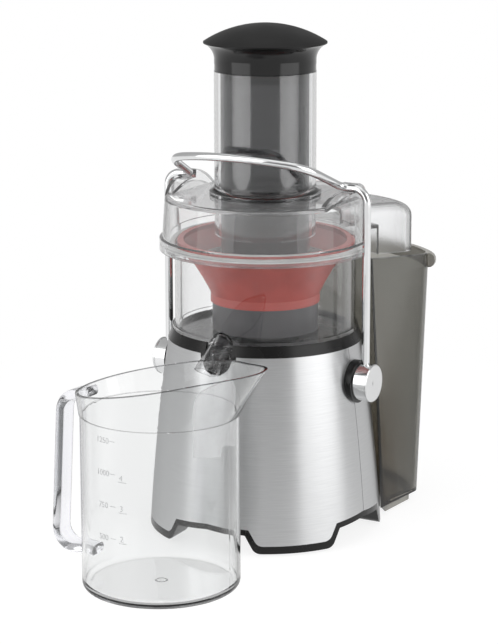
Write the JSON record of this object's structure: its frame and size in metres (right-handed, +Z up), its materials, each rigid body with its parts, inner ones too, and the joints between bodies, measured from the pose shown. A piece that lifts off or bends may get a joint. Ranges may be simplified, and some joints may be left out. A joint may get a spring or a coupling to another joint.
{
  "type": "centrifugal juicer",
  "caption": "Whole-fruit centrifugal juicer: steel motor base, clear bowl and lid, coral filter basket, swinging locking arm, wide feed tube with pusher, pulp bin and lipped jug.",
  "frame": {"origin": "middle of the footprint of base, bin and jug, at floor level", "axes": "+Z up, -Y from the base towards the jug, +Y towards the pulp bin, +X to the right seen from the jug"},
  "size_m": [0.1956, 0.408, 0.406],
  "materials": {
    "steel_shell": "horizontal brushed grain",
    "black_plastic": "matt moulded",
    "gloss_black": "polished",
    "cap_black": "fine satin",
    "chute_frosted": "clear moulding, frosted",
    "clear_plastic": "clear, polished",
    "spout_clear": "clear, polished",
    "smoky_plastic": "smoky, polished",
    "smoky_bin": "smoky, polished",
    "coral_plastic": "polished",
    "grey_plastic": "satin",
    "mesh_steel": "perforated sheet",
    "chrome_rod": "polished",
    "machined_steel": "ground",
    "lamination": "stacked sheet",
    "copper": "enamelled wire",
    "bracket_alloy": "cast",
    "rubber_black": "matt",
    "seal_clear": "soft silicone",
    "cam_plastic": "natural acetal"
  },
  "bodies": {
    "base": {"front_shell": "steel_shell", "rear_shell": "steel_shell", "top_collar": "black_plastic", "bottom_trim": "black_plastic", "base_plate": "black_plastic", "rubber_feet": "rubber_black", "base_screws": "machined_steel", "motor_core": "lamination", "field_windings": "copper", "lower_bracket": "bracket_alloy", "upper_bracket": "bracket_alloy", "motor_bolts": "machined_steel", "motor_mounts": "rubber_black", "upper_bearing": "machined_steel", "lower_bearing": "machined_steel", "brush_holders": "black_plastic", "shaft_seal": "rubber_black", "arm_bushes": "black_plastic", "interlock_switch": "black_plastic", "speed_switch_bezel": "black_plastic", "cord_gland": "black_plastic", "juice_bowl": "clear_plastic", "juice_spout": "spout_clear", "lid_cover": "clear_plastic", "pulp_chute": "chute_frosted", "feed_tube": "clear_plastic", "lid_seal": "seal_clear"},
    "rotor": {"motor_shaft": "machined_steel", "armature": "lamination", "commutator": "copper", "cooling_fan": "black_plastic", "drive_coupling": "grey_plastic", "basket_hub": "grey_plastic", "filter_basket": "coral_plastic", "filter_mesh": "mesh_steel", "grater_disc": "mesh_steel"},
    "pusher": {"pusher_tube": "smoky_plastic", "pusher_collar": "gloss_black", "pusher_handle": "gloss_black", "pusher_cap": "cap_black"},
    "arm": {"locking_arm": "chrome_rod", "arm_hubs": "chrome_rod", "hub_caps": "chrome_rod", "pivot_pins": "machined_steel", "interlock_cam": "cam_plastic"},
    "plunger": {"interlock_plunger": "cam_plastic"},
    "rocker": {"speed_rocker": "gloss_black"},
    "bin": {"pulp_bin": "smoky_bin"},
    "jug": {"jug_body": "clear_plastic", "jug_handle": "clear_plastic", "froth_separator": "clear_plastic"}
  },
  "joints": [
    {"name": "basket_spin", "type": "hinge", "parent": "base", "child": "rotor", "pos_m": [0, 0.0325, 0.1], "axis": [0, 0, 1], "continuous": true},
    {"name": "pusher_lift", "type": "slide", "parent": "base", "child": "pusher", "axis": [0, 0, 1], "range_m": [0, 0.12]},
    {"name": "arm_swing", "type": "hinge", "parent": "base", "child": "arm", "pos_m": [0, 0.0325, 0.1266], "axis": [1, 0, 0], "range_deg": [0, 55]},
    {"name": "plunger_rise", "type": "slide", "parent": "base", "child": "plunger", "axis": [0, 0, 1], "range_m": [0, 0.0025]},
    {"name": "rocker_tilt", "type": "hinge", "parent": "base", "child": "rocker", "pos_m": [-0.07997, 0.0495, 0.066], "axis": [-0.2079, -0.9781, 0], "range_deg": [-10, 10]},
    {"name": "bin_slide", "type": "slide", "parent": "base", "child": "bin", "axis": [0, 1, 0], "range_m": [0, 0.15]},
    {"name": "jug_slide", "type": "slide", "parent": "base", "child": "jug", "axis": [0, -1, 0], "range_m": [0, 0.15]}
  ],
  "couplings": [
    {"joint": "plunger_rise", "follows": "arm_swing", "m_per_rad": 0.0025}
  ]
}
